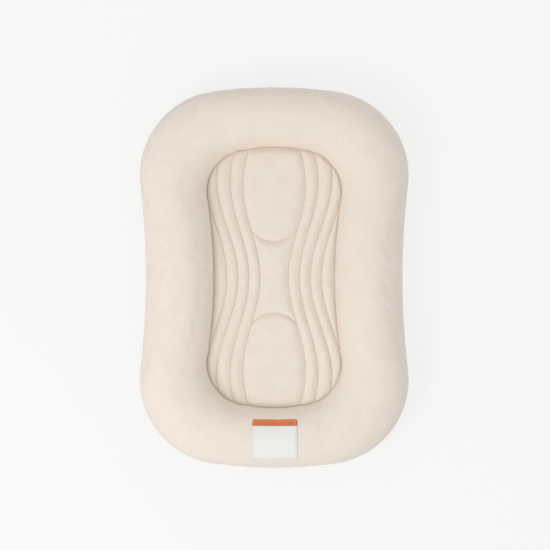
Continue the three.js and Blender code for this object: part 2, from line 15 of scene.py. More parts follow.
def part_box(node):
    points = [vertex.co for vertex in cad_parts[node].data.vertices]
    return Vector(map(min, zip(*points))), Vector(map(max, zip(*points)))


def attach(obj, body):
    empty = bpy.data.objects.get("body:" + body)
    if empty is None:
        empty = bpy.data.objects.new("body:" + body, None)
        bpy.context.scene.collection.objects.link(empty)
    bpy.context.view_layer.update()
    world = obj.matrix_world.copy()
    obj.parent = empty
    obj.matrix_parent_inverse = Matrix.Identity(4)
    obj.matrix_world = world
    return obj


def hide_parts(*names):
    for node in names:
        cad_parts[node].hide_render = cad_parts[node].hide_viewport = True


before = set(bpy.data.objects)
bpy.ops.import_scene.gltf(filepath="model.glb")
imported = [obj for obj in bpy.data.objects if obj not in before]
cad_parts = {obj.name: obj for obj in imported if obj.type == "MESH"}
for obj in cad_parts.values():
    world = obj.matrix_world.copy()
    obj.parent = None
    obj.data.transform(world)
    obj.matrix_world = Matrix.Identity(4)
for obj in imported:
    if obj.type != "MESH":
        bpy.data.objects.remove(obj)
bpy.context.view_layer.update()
scene = bpy.context.scene
scene.view_settings.view_transform = "Standard"

# Fibre filling of the rim: white polyester hollow fibre, blown into the insert's casing.
# It fills a ring whose section is crowned on top and rolled under at the inner and outer foot.
low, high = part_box("rim_cover_top")
pad_low, pad_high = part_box("base_panel_right")
MM = 0.001
HALF_LENGTH, HALF_WIDTH, HEIGHT = high.y, 0.2597, high.z
PAD_HALF_LENGTH, PAD_HALF_WIDTH = 0.2525, 0.131
SIDE_SEAM_HEIGHT = low.z + 4.9 * MM
FACE_BOTTOM = low.z
INNER_FOOT, OUTER_FOOT = 20 * MM, 42 * MM
PANEL_TOP = pad_high.z


class Outline:
    """Quarter of a rounded outline: a waist arc, a corner arc and a bowed end that meet smoothly."""

    def __init__(self, half_length, half_width, corner, waist_draw, end_bow):
        self.corner = corner
        self.corner_x = half_width - corner
        self.corner_y = half_length - corner - end_bow
        self.waist = ((corner - waist_draw) ** 2 + self.corner_y ** 2 - corner ** 2) / (2 * waist_draw)
        self.waist_x = half_width - waist_draw + self.waist
        self.end = corner + (self.corner_x ** 2 + end_bow ** 2) / (2 * end_bow)
        self.end_y = half_length - self.end
        self.waist_angle = math.atan2(self.corner_y, self.waist_x - self.corner_x)
        self.end_angle = math.atan2(self.corner_y - self.end_y, self.corner_x)
        self.half_length = half_length

    def point(self, arc, share):
        """A point on arc 0 (waist), 1 (corner) or 2 (end), from the waist's middle to the end's middle."""
        if arc == 0:
            angle = math.pi - share * self.waist_angle
            return Vector((self.waist_x + self.waist * math.cos(angle), self.waist * math.sin(angle)))
        if arc == 1:
            angle = share * (self.end_angle + self.waist_angle) - self.waist_angle
            return Vector((
                self.corner_x + self.corner * math.cos(angle), self.corner_y + self.corner * math.sin(angle),
            ))
        angle = self.end_angle + share * (math.pi / 2 - self.end_angle)
        return Vector((self.end * math.cos(angle), self.end_y + self.end * math.sin(angle)))

    def x_at(self, y):
        """Half width at a distance y from the middle."""
        y = abs(y)
        if y <= self.waist * math.sin(self.waist_angle):
            return self.waist_x - math.sqrt(self.waist ** 2 - y ** 2)
        on_corner = math.sqrt(max(self.corner ** 2 - (y - self.corner_y) ** 2, 0))
        on_end = math.sqrt(max(self.end ** 2 - (y - self.end_y) ** 2, 0))
        return on_end if on_end < self.end * math.cos(self.end_angle) else self.corner_x + on_corner

    def y_at(self, x):
        """Half length at a distance x from the middle."""
        x = abs(x)
        if x <= self.end * math.cos(self.end_angle):
            return self.end_y + math.sqrt(self.end ** 2 - x ** 2)
        return self.corner_y + math.sqrt(max(self.corner ** 2 - (x - self.corner_x) ** 2, 0))


PAD_CORNER, WAIST_DRAW, PAD_END_BOW = 83 * MM, 13.7 * MM, 4 * MM


def quilt_outline(inset):
    """The quilt's own outline, or that of a layer which stops short of it all round."""
    return Outline(
        PAD_HALF_LENGTH - inset, PAD_HALF_WIDTH - inset, PAD_CORNER - inset, WAIST_DRAW, PAD_END_BOW,
    )


rim_outline = Outline(HALF_LENGTH, HALF_WIDTH, corner=165 * MM, waist_draw=11.5 * MM, end_bow=6.8 * MM)
pad_outline = quilt_outline(0)
layer_outline = quilt_outline(0.9 * MM)


def round_the_rim(cells):
    """Stations round the whole ring, anticlockwise from the waist on the +X side.

    Each is the seam's point, the way across the rim and the rim's width; cells are those of each arc.
    """
    quarter = [(arc, i / count) for arc, count in enumerate(cells) for i in range(count)]
    turns = [(1, 1, quarter), (-1, 1, None), (-1, -1, quarter), (1, -1, None)]
    back = [(2, 1.0)] + [place for place in reversed(quarter) if place != (0, 0.0)]
    stations = []
    for side, end, places in turns:
        for arc, share in places or back:
            inner, outer = pad_outline.point(arc, share), rim_outline.point(arc, share)
            inner, outer = (Vector((side * p.x, end * p.y)) for p in (inner, outer))
            stations.append((inner, (outer - inner).normalized(), (outer - inner).length))
    return stations


def arc_points(centre_x, centre_z, radius_x, radius_z, start, end, count=16):
    """Points of an elliptical arc in the section's plane; angles in degrees."""
    angles = (math.radians(start + (end - start) * i / count) for i in range(count + 1))
    return [Vector((centre_x + radius_x * math.cos(a), centre_z + radius_z * math.sin(a))) for a in angles]


def crown(width, inset):
    """The rim's upper side from the outer seam over the crest to the quilt's seam."""
    half = width / 2
    rise = HEIGHT - inset
    return (
        arc_points(half, SIDE_SEAM_HEIGHT, half - inset, rise - SIDE_SEAM_HEIGHT, 0, 90)
        + arc_points(half, FACE_BOTTOM, half - inset, rise - FACE_BOTTOM, 90, 180)[1:]
    )


def foot(width, inset):
    """The rim's underside, rolled under at both edges and flat where it stands on the floor."""
    inner, outer = INNER_FOOT - inset, OUTER_FOOT - inset
    return (
        arc_points(INNER_FOOT, INNER_FOOT, inner, inner, 180, 270)
        + arc_points(width - OUTER_FOOT, OUTER_FOOT, outer, outer, 270, 360)
    )


def evenly_spaced(path, cells):
    """The path's points again, at equal steps of its own length, with that length."""
    lengths = [0]
    for before, after in zip(path, path[1:]):
        lengths.append(lengths[-1] + (after - before).length)
    points, k = [], 0
    for i in range(cells + 1):
        goal = lengths[-1] * i / cells
        while k < len(path) - 2 and lengths[k + 1] < goal:
            k += 1
        span = max(lengths[k + 1] - lengths[k], 1e-12)
        points.append(path[k].lerp(path[k + 1], min((goal - lengths[k]) / span, 1)))
    return points, lengths[-1]


def lay_flat(bm, places, name="cloth"):
    """Maps the cloth's UV in metres, from the place that each vertex has when the cloth lies flat."""
    uv = bm.loops.layers.uv.new(name)
    for face in bm.faces:
        for loop in face.loops:
            loop[uv].uv = places[loop.vert]


PUCKER_WIDTH = 8 * MM


def ring_skin(section, arc_cells, cells, closed=False):
    """A skin round the rim, as a grid of stations by section points that closes on itself.

    It carries the cloth's UV map, each vertex's distance to the nearer seam, and its station's pucker.
    """
    stations = round_the_rim(arc_cells)
    bm = bmesh.new()
    bmesh.ops.create_grid(bm, x_segments=len(stations), y_segments=cells, size=1)
    seam_distance, pucker = (bm.verts.layers.float.new(name) for name in ("seam_distance", "pucker"))
    sections = [evenly_spaced(section(width), cells) for _, _, width in stations]
    laid = {}
    for vert in bm.verts:
        i = round((vert.co.x + 1) / 2 * len(stations)) % len(stations)
        j = round((vert.co.y + 1) / 2 * cells)
        inner, across, width = stations[i]
        points, length = sections[i]
        out, height = points[j]
        laid[vert] = inner + across * (length * (1 - j / cells))
        vert.co = (inner.x + across.x * out, inner.y + across.y * out, height)
        vert[seam_distance] = length * min(j, cells - j) / cells
        vert[pucker] = noise.noise(((inner + across * width / 2) / PUCKER_WIDTH).to_3d())
    lay_flat(bm, laid)
    bmesh.ops.remove_doubles(bm, verts=bm.verts, dist=0.01 * MM)
    bmesh.ops.recalc_face_normals(bm, faces=bm.faces)
    if not closed and outward_share(bm) < 0.5:
        bmesh.ops.reverse_faces(bm, faces=bm.faces)
    return bm


def outward_share(bm):
    """Share of the faces that look away from the middle of the rim's section."""
    def looks_out(face):
        centre = face.calc_center_median()
        return face.normal.z * (centre.z - FACE_BOTTOM) > 0

    steep = [face for face in bm.faces if abs(face.normal.z) > 0.7]
    return sum(looks_out(face) for face in steep) / len(steep)


def lumps(bm, rise, size, seed, seam_fade=30 * MM):
    """Soft unevenness of the filling under the cloth: size is its width, rise its height."""
    bm.normal_update()
    seam_distance = bm.verts.layers.float["seam_distance"]
    for vert in bm.verts:
        fade = min(vert[seam_distance] / seam_fade, 1)
        swelling = 0.5 + 0.5 * noise.noise(vert.co / size + Vector((seed, 0, 0)))
        vert.co += vert.normal * rise * fade * swelling


def gather(bm, rise, reach):
    """Small puckers that run away from both seams: full after a sixth of their reach, then fading."""
    bm.normal_update()
    seam_distance, pucker = (bm.verts.layers.float[name] for name in ("seam_distance", "pucker"))
    for vert in bm.verts:
        share = vert[seam_distance] / reach
        vert.co += vert.normal * rise * vert[pucker] * min(share * 6, 1) * math.exp(-share)


def add_node(tree, kind, inputs=(), **settings):
    """Adds a node; inputs maps a socket to a value or to another node's output."""
    made = tree.nodes.new(kind)
    for name, value in settings.items():
        setattr(made, name, value)
    for name, value in dict(inputs).items():
        if isinstance(value, bpy.types.NodeSocket):
            tree.links.new(value, made.inputs[name])
        else:
            made.inputs[name].default_value = value
    return made


def colour(hex_value):
    """An sRGB hex value as the linear colour that a socket takes."""
    channels = [int(hex_value[i:i + 2], 16) / 255 for i in (1, 3, 5)]
    return [c / 12.92 if c <= 0.04045 else ((c + 0.055) / 1.055) ** 2.4 for c in channels] + [1]


def new_material(name, **shader_inputs):
    """A material with one Principled shader; its inputs are named with underscores for spaces."""
    material = bpy.data.materials.new(name)
    material.use_nodes = True
    shader = material.node_tree.nodes["Principled BSDF"]
    for key, value in shader_inputs.items():
        shader.inputs[key.replace("_", " ")].default_value = value
    return material, material.node_tree, shader


# Polyester hollow fibre: carded staple, matt and bright white, tangled in soft tufts about 9 mm wide
fibre_material, tree, shader = new_material(
    "polyester_hollow_fibre", Roughness=0.95, Sheen_Weight=0.4, Sheen_Roughness=0.6,
)
place = add_node(tree, "ShaderNodeTexCoord").outputs["Object"]
strands = add_node(tree, "ShaderNodeTexNoise", {
    "Vector": place, "Scale": 1 / (9 * MM), "Detail": 6, "Roughness": 0.7, "Distortion": 1.8,
})
shade = add_node(tree, "ShaderNodeMix", {
    "Factor": strands.outputs["Fac"], "A": colour("#f0eee9"), "B": colour("#fdfdfb"),
}, data_type="RGBA")
tree.links.new(shade.outputs["Result"], shader.inputs["Base Color"])
relief = add_node(tree, "ShaderNodeBump", {
    "Height": strands.outputs["Fac"], "Strength": 0.9, "Distance": 2 * MM,
})
tree.links.new(relief.outputs["Normal"], shader.inputs["Normal"])


def make_piece(bm, name, material, slot, *nodes, body="lounger"):
    """Turns a bmesh into a piece that rides on a body, stands for its CAD nodes and has a finish."""
    mesh = bpy.data.meshes.new(name)
    bm.to_mesh(mesh)
    bm.free()
    mesh.shade_smooth()
    mesh.materials.append(material)
    piece = bpy.data.objects.new(name, mesh)
    scene.collection.objects.link(piece)
    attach(piece, body)
    if nodes:
        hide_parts(*nodes)
    return piece


CLOTH, LINER, GAP, EASE = 1.2 * MM, 0.8 * MM, 0.3 * MM, 2 * MM
LINER_INSET = CLOTH + EASE
FIBRE_INSET = LINER_INSET + LINER + GAP
INNER_ARC_CELLS = (12, 16, 4)

bm = ring_skin(
    lambda width: crown(width, FIBRE_INSET) + foot(width, FIBRE_INSET) + crown(width, FIBRE_INSET)[:1],
    INNER_ARC_CELLS, 48, closed=True,
)
lumps(bm, rise=-2 * MM, size=26 * MM, seed=3)
fibre = make_piece(bm, "fibre_filling", fibre_material, "polyester_fibre", "fibre_fill")

# Insert's casing: plain woven polyester cotton in two halves, sewn together inside the cover.
# Its seams lie low on the inner wall and level with the cover's own seam on the outside.
LINER_SEAM = (PANEL_TOP + FACE_BOTTOM) / 2


def lower_half(width, inset, wall_top):
    """Down the inner wall, under the rim and up to the outer seam."""
    outer_seam = Vector((width - inset, SIDE_SEAM_HEIGHT - GAP))
    return [Vector((inset, wall_top))] + foot(width, inset) + [outer_seam]


def solidify(piece, thickness):
    """Gives a cloth its thickness, towards its inner side."""
    shell = piece.modifiers.new("cloth_thickness", "SOLIDIFY")
    shell.thickness = thickness
    shell.offset = -1


def woven_relief(tree, place, spacing, depth):
    """Bump of a plain weave: warp and weft threads that cross at the given spacing."""
    threads = [
        add_node(tree, "ShaderNodeTexWave", {"Vector": place, "Scale": math.pi / (10 * spacing)},
                 bands_direction=direction).outputs["Fac"]
        for direction in "XY"
    ]
    weave = add_node(tree, "ShaderNodeMath", {0: threads[0], 1: threads[1]}, operation="MULTIPLY")
    return add_node(tree, "ShaderNodeBump", {
        "Height": weave.outputs[0], "Strength": 0.5, "Distance": depth,
    }).outputs["Normal"]


# Polyester cotton casing cloth: bleached plain weave with a slight dry sheen.
# Its 0.4 mm threads are drawn 1 mm apart, so that they show.
liner_material, tree, shader = new_material(
    "polyester_cotton_casing", Roughness=0.85, Sheen_Weight=0.15, Base_Color=colour("#f4f1ea"),
)
place = add_node(tree, "ShaderNodeUVMap", uv_map="cloth").outputs["UV"]
tree.links.new(woven_relief(tree, place, 1 * MM, 0.2 * MM), shader.inputs["Normal"])

bm = ring_skin(
    lambda width: crown(width, LINER_INSET) + [Vector((LINER_INSET, LINER_SEAM))], INNER_ARC_CELLS, 32,
)
liner_top = make_piece(bm, "casing_top", liner_material, "liner_cloth", "insert_liner_top")
bm = ring_skin(lambda width: lower_half(width, LINER_INSET, LINER_SEAM - GAP), INNER_ARC_CELLS, 24)
liner_under = make_piece(bm, "casing_under", liner_material, "liner_cloth", "insert_liner_under")
for piece in (liner_top, liner_under):
    solidify(piece, LINER)

# Rim's cover: two rings of soft combed cotton, sewn to each other at the side seam.
# The filling rounds them out, so the cloth runs in small puckers along every seam.


def swell(piece, seam_reach, pressure, slack, furthest, steady, frames=20):
    """Blows a cloth up between its seams, which stay put, and keeps each point's way short.

    slack is the share by which the cloth is larger than the seams allow, and steady the distance
    from a seam at which a point may go its furthest; beside the seam it may go a fifth of that.
    The filling keeps the cloth from sinking in, so it gives way inwards by a tenth at most.
    """
    mesh = piece.data
    outwards = [vertex.normal.copy() for vertex in mesh.vertices]
    distances = [item.value for item in mesh.attributes["seam_distance"].data]
    seam = piece.vertex_groups.new(name="seam")
    seam.add([i for i, distance in enumerate(distances) if distance < seam_reach], 1, "ADD")
    before = [vertex.co.copy() for vertex in mesh.vertices]
    modifier = piece.modifiers.new("swelling", "CLOTH")
    cloth = modifier.settings
    cloth.vertex_group_mass = "seam"
    cloth.use_pressure = True
    cloth.uniform_pressure_force = pressure
    cloth.shrink_min = -slack
    cloth.quality = 5
    cloth.effector_weights.gravity = 0
    modifier.collision_settings.use_collision = False
    modifier.point_cache.frame_start = 1
    modifier.point_cache.frame_end = frames
    for number in range(1, frames + 1):
        scene.frame_set(number)
    swollen = piece.evaluated_get(bpy.context.evaluated_depsgraph_get()).to_mesh()
    after = [vertex.co.copy() for vertex in swollen.vertices]
    piece.modifiers.remove(modifier)
    scene.frame_set(1)
    for vertex, start, end, outward, distance in zip(mesh.vertices, before, after, outwards, distances):
        step = end - start
        reach = furthest * min(1, 0.2 + distance / steady)
        step *= min(1, reach / max(step.length, 1e-9))
        step -= outward * min(step.dot(outward) + reach / 10, 0)
        vertex.co = start + step
    piece.vertex_groups.remove(seam)
    mesh.update()


def subdivided(piece):
    """Rounds the mesh off by one level, the same in every view."""
    finer = piece.modifiers.new("finer_cloth", "SUBSURF")
    finer.levels = finer.render_levels = 1
    finer.boundary_smooth = "PRESERVE_CORNERS"


# Combed cotton: ecru plain weave, soft and matt, with a short nap that lightens grazing edges.
# Its 0.4 mm threads are drawn 1.2 mm apart; slubs and the dye's faint clouds show from further off.
cover_material, tree, shader = new_material(
    "combed_cotton_cloth", Roughness=0.92, Specular_IOR_Level=0.25, Sheen_Weight=0.2, Sheen_Roughness=0.55,
)
place = add_node(tree, "ShaderNodeUVMap", uv_map="cloth").outputs["UV"]
clouds = add_node(tree, "ShaderNodeTexNoise", {
    "Vector": place, "Scale": 1 / (38 * MM), "Detail": 4, "Roughness": 0.55,
}, noise_dimensions="2D").outputs["Fac"]
slubs = []
for thin, long in ((1.7 * MM, 34 * MM), (26 * MM, 1.9 * MM)):
    stretched = add_node(tree, "ShaderNodeMapping", {"Vector": place, "Scale": (1 / thin, 1 / long, 1)})
    slubs.append(add_node(tree, "ShaderNodeTexNoise", {
        "Vector": stretched.outputs["Vector"], "Scale": 1, "Detail": 2,
    }, noise_dimensions="2D").outputs["Fac"])
threads = add_node(tree, "ShaderNodeMath", {0: slubs[0], 1: slubs[1]}, operation="ADD").outputs[0]
tone = add_node(tree, "ShaderNodeMath", {0: threads, 1: clouds}, operation="ADD").outputs[0]
tone = add_node(tree, "ShaderNodeMapRange", {"Value": tone, "From Min": 1.0, "From Max": 2.0}).outputs[0]
cloth_colour = add_node(tree, "ShaderNodeMix", {
    "Factor": tone, "A": colour("#e8dccf"), "B": colour("#eee4d9"),
}, data_type="RGBA").outputs["Result"]
# Painted shade: the cloth turns a darker tan within 1.6 mm of every seam, where the sewn creases lie in
# shade.
seam_distance = add_node(tree, "ShaderNodeAttribute", attribute_name="seam_distance").outputs["Fac"]
seam_shade_share = add_node(tree, "ShaderNodeMapRange", {
    "Value": seam_distance, "From Min": 0.2 * MM, "From Max": 1.6 * MM, "To Min": 0.7, "To Max": 0.0,
}).outputs[0]
painted_seam_shade = add_node(tree, "ShaderNodeMix", {
    "Factor": seam_shade_share, "A": cloth_colour, "B": colour("#decdb8"),
}, data_type="RGBA").outputs["Result"]
tree.links.new(painted_seam_shade, shader.inputs["Base Color"])
relief = add_node(tree, "ShaderNodeBump", {
    "Height": threads, "Normal": woven_relief(tree, place, 1.2 * MM, 0.12 * MM),
    "Strength": 0.28, "Distance": 0.22 * MM,
})
tree.links.new(relief.outputs["Normal"], shader.inputs["Normal"])

# Seams of the quilt: four wavy lines a side, as shares of its half width and half length.
# They are set out here because they also draw the rim's cloth in, where they end at its seam.
FACE_TOP = FACE_BOTTOM + 1 * MM
LINE_WAIST_SHARES = (0.78, 0.597, 0.4165, 0.233)
LINE_CREST_SHARES = (1.062, 0.855, 0.648, 0.4615)
LINE_WAVE_SHARES = (0.843, 0.766, 0.743, 0.7125)
POCKET_APEX_SHARE, POCKET_END_SHARE, SIDE_STRIP_END_SHARE = 0.274, 0.356, 0.93
PINCH_DEPTH, PINCH_REACH = 1.5 * MM, 8 * MM


def quilt_line(k):
    """Half width of sewn line k at a distance y from the middle; line 0 is the outermost."""
    waist = LINE_WAIST_SHARES[k] * (PAD_HALF_WIDTH - WAIST_DRAW)
    crest = LINE_CREST_SHARES[k] * PAD_HALF_WIDTH
    wave = LINE_WAVE_SHARES[k] * PAD_HALF_LENGTH
    return lambda y: waist + (crest - waist) * (1 - math.cos(math.pi * y / wave)) / 2


def line_end(k):
    """Where sewn line k runs into the quilt's border."""
    x_at = quilt_line(k)
    near, far = 0, PAD_HALF_LENGTH - 1 * MM
    for _ in range(40):
        middle = (near + far) / 2
        if layer_outline.x_at(middle) > x_at(middle):
            near = middle
        else:
            far = middle
    return near


line_ends = [line_end(k) for k in range(4)]
split_y = line_ends[0]
line_ends[0] = SIDE_STRIP_END_SHARE * line_ends[1]
innermost = quilt_line(3)
pocket_end = POCKET_END_SHARE * PAD_HALF_LENGTH
pocket_depth = pocket_end - POCKET_APEX_SHARE * PAD_HALF_LENGTH
pocket_half = innermost(pocket_end)
pocket_radius = (pocket_half ** 2 + pocket_depth ** 2) / (2 * pocket_depth)


def line_x(k, y):
    """Line 0 runs on along the border once it has met it."""
    return layer_outline.x_at(y) if k == 0 and y >= split_y else quilt_line(k)(y)


def pocket_sag(share):
    """How far the pocket's sewn arc dips towards the middle, at a share of its half width."""
    return math.sqrt(pocket_radius ** 2 - (share * pocket_half) ** 2) - (pocket_radius - pocket_depth)


def pinch(bm):
    """Draws the quilt's border in where each sewn line runs into it, on the quilt and the rim alike.

    The pull is mostly crosswise at the sides and lengthwise at the ends.
    """
    ends = [(layer_outline.x_at(split_y), split_y)]
    ends += [(quilt_line(k)(line_ends[k]), line_ends[k]) for k in (1, 2, 3)]
    draws = []
    for x, y in ends:
        inward = Vector((-1, -0.2, 0)) if x > 0.9 * PAD_HALF_WIDTH else Vector((-0.35, -1, 0))
        for side in (-1, 1):
            for end in (-1, 1):
                turned = Vector((side * inward.x, end * inward.y, 0)).normalized()
                draws.append((Vector((side * x, end * y, FACE_TOP)), turned))
    for vert in bm.verts:
        for place, inward in draws:
            near = (vert.co - place).length / PINCH_REACH
            if near < 3:
                vert.co += inward * PINCH_DEPTH * math.exp(-near ** 2)


COVER_ARC_CELLS = (46, 42, 22)
PUCKER_RISE, PUCKER_REACH = 0.7 * MM, 24 * MM
bm = ring_skin(lambda width: crown(width, 0), COVER_ARC_CELLS, 54)
lumps(bm, rise=1 * MM, size=85 * MM, seed=11, seam_fade=50 * MM)
lumps(bm, rise=0.5 * MM, size=30 * MM, seed=17, seam_fade=40 * MM)
gather(bm, PUCKER_RISE, PUCKER_REACH)
pinch(bm)
rim_top = make_piece(bm, "rim_cover_upper", cover_material, "cover_cotton", "rim_cover_top")
bm = ring_skin(lambda width: lower_half(width, 0, PANEL_TOP), COVER_ARC_CELLS, 40)
gather(bm, PUCKER_RISE, PUCKER_REACH)
rim_under = make_piece(bm, "rim_cover_lower", cover_material, "cover_cotton", "rim_cover_under")
swell(rim_top, seam_reach=0.5 * MM, pressure=3, slack=0.02, furthest=2.6 * MM, steady=45 * MM)
for piece in (rim_top, rim_under):
    subdivided(piece)
    solidify(piece, CLOTH)

# Pad under the quilt: an 11 mm slab of open-cell polyurethane foam, die-cut to the quilt's outline.
# It lies loose between the base panels and the quilt's lining.
ARC_ENDS = (0.48, 0.86, 1.0)


def half_panel(outline, inner_edge, side, rows, columns):
    """One half of a flat panel from its inner edge to the outline, as rows that fan into the ends.

    The outline's arcs end at the rows in ARC_ENDS, as shares of the half length. The panel carries
    the cloth's UV map and each vertex's distance to the border.
    """
    bm = bmesh.new()
    bmesh.ops.create_grid(bm, x_segments=columns, y_segments=rows, size=1)
    seam_distance = bm.verts.layers.float.new("seam_distance")
    for vert in bm.verts:
        along, across = vert.co.y, (vert.co.x + 1) / 2
        length = abs(along)
        arc = next(k for k, share in enumerate(ARC_ENDS) if length <= share + 1e-6)
        start = ARC_ENDS[arc - 1] if arc else 0
        rim = outline.point(arc, min((length - start) / (ARC_ENDS[arc] - start), 1))
        rim.x = max(rim.x, inner_edge)
        middle = Vector((inner_edge, length * outline.half_length))
        flat = middle.lerp(rim, across)
        vert.co = (side * flat.x, math.copysign(flat.y, along), 0)
        vert[seam_distance] = (rim - middle).length * (1 - across)
    lay_flat(bm, {vert: vert.co.xy for vert in bm.verts})
    bmesh.ops.remove_doubles(bm, verts=bm.verts, dist=0.05 * MM)
    return bm


def facing(bm, up):
    """Turns a flat sheet's faces up or down."""
    bm.normal_update()
    if (sum(face.normal.z for face in bm.faces) > 0) != up:
        bmesh.ops.reverse_faces(bm, faces=bm.faces)


def flat_layer(height):
    """A whole flat layer of the quilt at a height, in two mirrored halves with their faces up."""
    bm = half_panel(layer_outline, inner_edge=0, side=1, rows=60, columns=16)
    half = bm.verts[:] + bm.edges[:] + bm.faces[:]
    bmesh.ops.mirror(bm, geom=half, axis="X", merge_dist=0.05 * MM, mirror_u=False)
    bmesh.ops.recalc_face_normals(bm, faces=bm.faces)
    facing(bm, up=True)
    bmesh.ops.translate(bm, verts=bm.verts, vec=(0, 0, height))
    return bm


def fill_down(bm, bottom):
    """Makes a sheet a solid layer, with a flat underside at the given height."""
    for part in bmesh.ops.extrude_face_region(bm, geom=bm.faces[:])["geom"]:
        if isinstance(part, bmesh.types.BMVert):
            part.co.z = bottom
    bmesh.ops.recalc_face_normals(bm, faces=bm.faces)


pad_bottom, pad_top = (corner.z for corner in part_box("centre_pad"))
bm = flat_layer(pad_top)
fill_down(bm, pad_bottom)
rims = [edge for edge in bm.edges if edge.is_manifold and edge.calc_face_angle(0) > math.radians(60)]
bmesh.ops.bevel(
    bm, geom=rims, offset=1.2 * MM, offset_type="OFFSET", segments=2, profile=0.5, affect="EDGES",
    material=-1,
)

# Polyurethane foam: cream, open cells about 1 mm wide that the knife has cut through, quite matt
foam_material, tree, shader = new_material("cut_polyurethane_foam", Roughness=1.0)
place = add_node(tree, "ShaderNodeTexCoord").outputs["Object"]
cells = add_node(tree, "ShaderNodeTexVoronoi", {
    "Vector": place, "Scale": 1 / (1.1 * MM),
}).outputs["Distance"]
# Painted shade: the colour darkens towards the middle of each cell, where the cut pores sink into shade.
shade = add_node(tree, "ShaderNodeMix", {
    "Factor": cells, "A": colour("#dccda6"), "B": colour("#f4ebcf"),
}, data_type="RGBA")
tree.links.new(shade.outputs["Result"], shader.inputs["Base Color"])
relief = add_node(tree, "ShaderNodeBump", {"Height": cells, "Strength": 0.8, "Distance": 0.5 * MM})
tree.links.new(relief.outputs["Normal"], shader.inputs["Normal"])
pad = make_piece(bm, "foam_pad", foam_material, "pad_foam", "centre_pad")

# Quilt's lining: a plain sheet of the casing cloth, which closes the quilt below its wadding.
# The channels are sewn through it, and it lies on the foam pad.
bm = flat_layer(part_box("quilt_backing")[1].z)
backing = make_piece(bm, "quilt_lining", liner_material, "liner_cloth", "quilt_backing")
solidify(backing, 1 * MM)

# Quilted centre: the same combed cotton over loose wadding, sewn down in four wavy lines a side.
# The innermost lines close round a head pocket and a foot pocket; every channel swells between its seams.


def steps(start, stop, step):
    """Even steps that include both ends."""
    count = max(math.ceil((stop - start) / step), 1)
    return [start + (stop - start) * i / count for i in range(count + 1)]


def seam_points():
    """Points half a millimetre apart on every seam: the lines, the pocket arcs and the border."""
    quarter = [
        (line_x(k, y), y)
        for k in range(4) for y in steps(0, split_y if k == 0 else line_ends[k], 0.5 * MM)
    ]
    quarter += [(x, pocket_end - pocket_sag(x / pocket_half)) for x in steps(0, pocket_half, 0.5 * MM)]
    quarter += [tuple(layer_outline.point(arc, share)) for arc in range(3) for share in steps(0, 1, 0.002)]
    return [(side * x, end * y, 0) for x, y in quarter for side in (-1, 1) for end in (-1, 1)]


def closer_to_seams(share):
    """Sets a channel's grid lines closer together beside its two seams."""
    return share - 0.09 * math.sin(2 * math.pi * share)


def quilt_row(row_share, columns):
    """One row of the quilt's quarter, from the middle out to the border; it ends on the outline."""
    pocket_row = pocket_end / line_ends[3]
    fade = row_share / pocket_row if row_share < pocket_row else (1 - row_share) / (1 - pocket_row)
    stops = [Vector((line_x(k, row_share * line_ends[k]), row_share * line_ends[k])) for k in (3, 2, 1, 0)]
    if row_share == 1:
        stops = [Vector((stop.x, layer_outline.y_at(stop.x))) for stop in stops]
    centre, strip, edge = columns
    row = []
    for i in range(centre):
        share = i / centre
        y = stops[0].y - fade * pocket_sag(share)
        if row_share == 1:
            y = layer_outline.y_at(share * stops[0].x)
        row.append(Vector((share * stops[0].x, y)))
    for start, stop in zip(stops, stops[1:]):
        for i in range(strip):
            point = start.lerp(stop, closer_to_seams(i / strip))
            if row_share == 1:
                point.y = layer_outline.y_at(point.x)
            row.append(point)
    last = stops[-1]
    rim_x = layer_outline.x_at(last.y) if last.y < split_y else last.x
    row += [Vector((last.x + (rim_x - last.x) * closer_to_seams(i / edge), last.y)) for i in range(edge + 1)]
    return row


def quilt_skin(columns, row_counts):
    """The quilt as a grid whose columns follow the sewn lines, with each vertex's distance to a seam."""
    shares = [0, pocket_end / line_ends[3], split_y / line_ends[0], 1]
    row_shares = [
        start + (stop - start) * i / count
        for start, stop, count in zip(shares, shares[1:], row_counts) for i in range(count)
    ] + [1]
    rows = [quilt_row(share, columns) for share in row_shares]
    side_cells, end_cells = len(rows[0]) - 1, len(rows) - 1
    points = seam_points()
    tree = KDTree(len(points))
    for i, point in enumerate(points):
        tree.insert(point, i)
    tree.balance()
    bm = bmesh.new()
    bmesh.ops.create_grid(bm, x_segments=2 * side_cells, y_segments=2 * end_cells, size=1)
    seam_distance = bm.verts.layers.float.new("seam_distance")
    for vert in bm.verts:
        i, j = round(vert.co.y * end_cells), round(vert.co.x * side_cells)
        flat = rows[abs(i)][abs(j)]
        vert.co = (math.copysign(flat.x, j), math.copysign(flat.y, i), 0)
        vert[seam_distance] = tree.find(vert.co)[2]
    lay_flat(bm, {vert: vert.co.xy for vert in bm.verts})
    bmesh.ops.remove_doubles(bm, verts=bm.verts, dist=0.05 * MM)
    facing(bm, up=True)
    return bm


def puff(bm, height, rise, reach, stitched=0.25 * MM):
    """Lifts a quilt's skin between its seams: steepest at the stitches and level past the reach."""
    seam_distance = bm.verts.layers.float["seam_distance"]
    for vert in bm.verts:
        share = min(max(vert[seam_distance] - stitched, 0) / reach, 1)
        vert.co.z = height + rise * (1 - (1 - share) ** 2)


ALLOWANCE, ALLOWANCE_DROP = 0.85 * MM, 0.15 * MM


